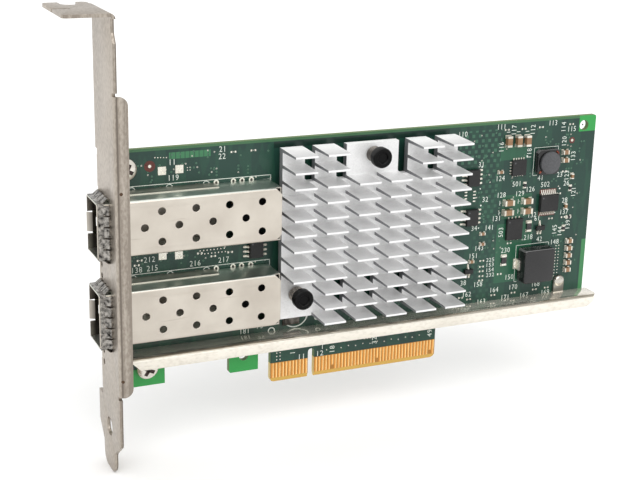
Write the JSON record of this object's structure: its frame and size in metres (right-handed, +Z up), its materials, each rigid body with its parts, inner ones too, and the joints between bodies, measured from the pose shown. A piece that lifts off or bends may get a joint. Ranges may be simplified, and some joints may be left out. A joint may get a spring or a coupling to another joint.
{
  "type": "network interface card",
  "caption": "Low-profile network interface card on a full-height slot bracket, with caged optical module ports, a pin-fin heat sink on spring push pins and a bent stiffener rail.",
  "frame": {"origin": "centre of the edge connector's key notch, at the contact fingers' lower edge, on the board's component face", "axes": "+X from the bracket towards the board's far end, -Y out of the component face, +Z up, away from the slot"},
  "size_m": [0.1608, 0.0216, 0.12],
  "materials": {
    "solder_mask": "glossy green solder mask on glass-epoxy laminate",
    "gold_contact": "gold-plated contact",
    "bracket_steel": "nickel-plated sheet steel, fine brushed",
    "screw_steel": "nickel-plated screw",
    "cage_metal": "satin tin-plated sheet",
    "collar_metal": "sprung sheet metal, darker satin",
    "host_plastic": "black moulded connector body",
    "sink_aluminium": "bare extruded and sawn aluminium",
    "pad_grey": "soft thermal pad",
    "controller_black": "moulded package",
    "pin_nylon": "black nylon",
    "spring_steel": "spring wire",
    "rail_steel": "bright plated sheet",
    "rivet_metal": "bright plated rivet",
    "package_black": "moulded black package",
    "ferrite_grey": "pressed ferrite powder",
    "terminal_tin": "tinned lead or end cap",
    "capacitor_brown": "brown ceramic",
    "resistor_black": "black glazed film on ceramic",
    "crystal_lid": "metal lid on ceramic tray",
    "lamp_clear": "clear resin lamp"
  },
  "bodies": {
    "root": {"printed_circuit_board": "solder_mask", "edge_contacts_front": "gold_contact", "edge_contacts_back": "gold_contact", "bracket": "bracket_steel", "bracket_screws": "screw_steel", "cage_shell_upper": "cage_metal", "cage_base_upper": "cage_metal", "spring_collar_upper": "collar_metal", "host_connector_upper": "host_plastic", "cage_shell_lower": "cage_metal", "cage_base_lower": "cage_metal", "spring_collar_lower": "collar_metal", "host_connector_lower": "host_plastic", "heat_sink": "sink_aluminium", "thermal_pad": "pad_grey", "controller_chip": "controller_black", "push_pins": "pin_nylon", "pin_springs": "spring_steel", "stiffener_rail": "rail_steel", "rail_rivets": "rivet_metal", "power_inductor": "ferrite_grey", "inductor_terminals": "terminal_tin", "drum_inductor": "ferrite_grey", "memory_chips": "package_black", "driver_chip": "package_black", "regulator_chip": "package_black", "power_switch": "package_black", "small_transistors": "package_black", "package_leads": "terminal_tin", "component_end_caps": "terminal_tin", "large_capacitors": "capacitor_brown", "medium_capacitors": "capacitor_brown", "small_capacitors": "capacitor_brown", "chip_resistors": "resistor_black", "crystal": "crystal_lid", "status_lamps": "lamp_clear"}
  },
  "joints": []
}
